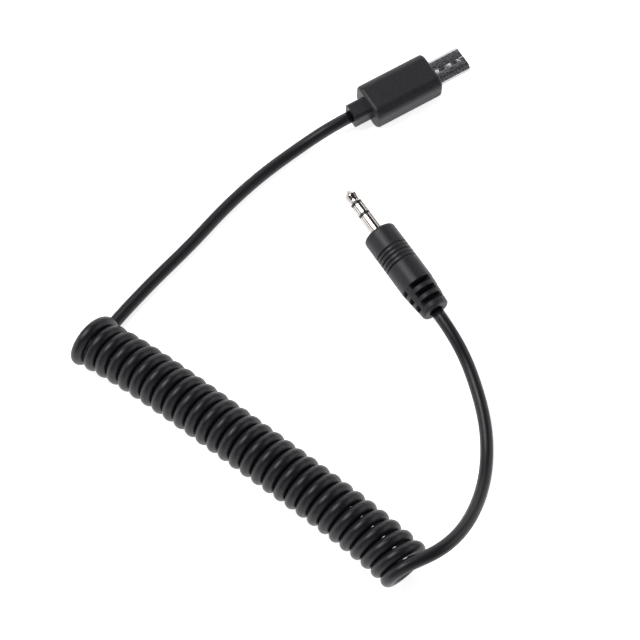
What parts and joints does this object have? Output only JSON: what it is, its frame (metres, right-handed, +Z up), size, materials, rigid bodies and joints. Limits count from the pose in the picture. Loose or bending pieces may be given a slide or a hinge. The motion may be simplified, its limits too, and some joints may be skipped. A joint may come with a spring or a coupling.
{
  "type": "coiled shutter release cord",
  "caption": "Coiled electronic shutter release cord: a camera plug with a flattened latched shell at one end and a three-pole pin plug at the other.",
  "frame": {"origin": "On the table, below the middle of the box around the two plugs; the cord and its coil lie off to the -X -Y side.", "axes": "+Z up, away from the table. +Y runs from the pin plug towards the camera plug. The camera plug points 31 degrees up from +X towards +Y, and the pin plug points 123 degrees."},
  "size_m": [0.1043, 0.1495, 0.0133],
  "materials": {
    "moulded_grip": "moulded black elastomer, fine matt texture with a soft sheen",
    "cord_jacket": "extruded polyurethane cord jacket, satin black",
    "shell_steel": "stamped stainless steel, lightly brushed",
    "spring_steel": "bright spring steel",
    "plug_insulator": "black glass-filled moulding",
    "contact_gold": "gold flash over copper alloy",
    "pin_nickel": "polished nickel plate over turned brass",
    "pin_insulator": "black turned acetal",
    "terminal_brass": "tinned brass stamping",
    "solder": "solder, bright grey",
    "inner_mould": "hot-melt polyolefin, milky",
    "wire_red": "PVC insulation",
    "wire_white": "PVC insulation",
    "wire_yellow": "PVC insulation"
  },
  "bodies": {
    "camera_end": {"camera_plug_grip": "moulded_grip", "camera_strain_relief": "moulded_grip", "plug_shell": "shell_steel", "plug_insulator": "plug_insulator", "plug_contacts": "contact_gold", "camera_cord_clamp": "shell_steel", "camera_jacket_end": "cord_jacket", "camera_inner_mould": "inner_mould", "camera_solder_joints": "solder", "camera_focus_wire": "wire_red", "camera_shutter_wire": "wire_white", "camera_common_wire": "wire_yellow", "lead_camera_side": "cord_jacket", "coil": "cord_jacket"},
    "jack_end": {"jack_sleeve": "pin_nickel", "jack_ring": "pin_nickel", "jack_tip": "pin_nickel", "jack_front_insulator": "pin_insulator", "jack_back_insulator": "pin_insulator", "jack_first_washer": "pin_insulator", "jack_second_washer": "pin_insulator", "jack_tip_terminal": "terminal_brass", "jack_ring_terminal": "terminal_brass", "jack_ground_clamp": "terminal_brass", "jack_jacket_end": "cord_jacket", "jack_solder_joints": "solder", "jack_shutter_wire": "wire_white", "jack_focus_wire": "wire_red", "jack_common_wire": "wire_yellow", "jack_inner_mould": "inner_mould", "jack_grip": "moulded_grip", "lead_jack_side": "cord_jacket"},
    "latch_left": {"latch_left": "spring_steel"},
    "latch_right": {"latch_right": "spring_steel"}
  },
  "joints": [
    {"name": "coil_stretch", "type": "slide", "parent": "camera_end", "child": "jack_end", "axis": [0.7985, -0.6021, 0], "range_m": [0, 0.2], "stiffness_N_per_m": 8, "deforming": ["coil"]},
    {"name": "latch_left_press", "type": "hinge", "parent": "camera_end", "child": "latch_left", "pos_m": [0.0037, 0.03332, 0.0035], "axis": [0.515, -0.8572, 0], "range_deg": [0, 2.3], "stiffness_Nm_per_rad": 0.4},
    {"name": "latch_right_press", "type": "hinge", "parent": "camera_end", "child": "latch_right", "pos_m": [0.00663, 0.02843, 0.0035], "axis": [0.515, -0.8572, 0], "range_deg": [0, 2.3], "stiffness_Nm_per_rad": 0.4}
  ]
}
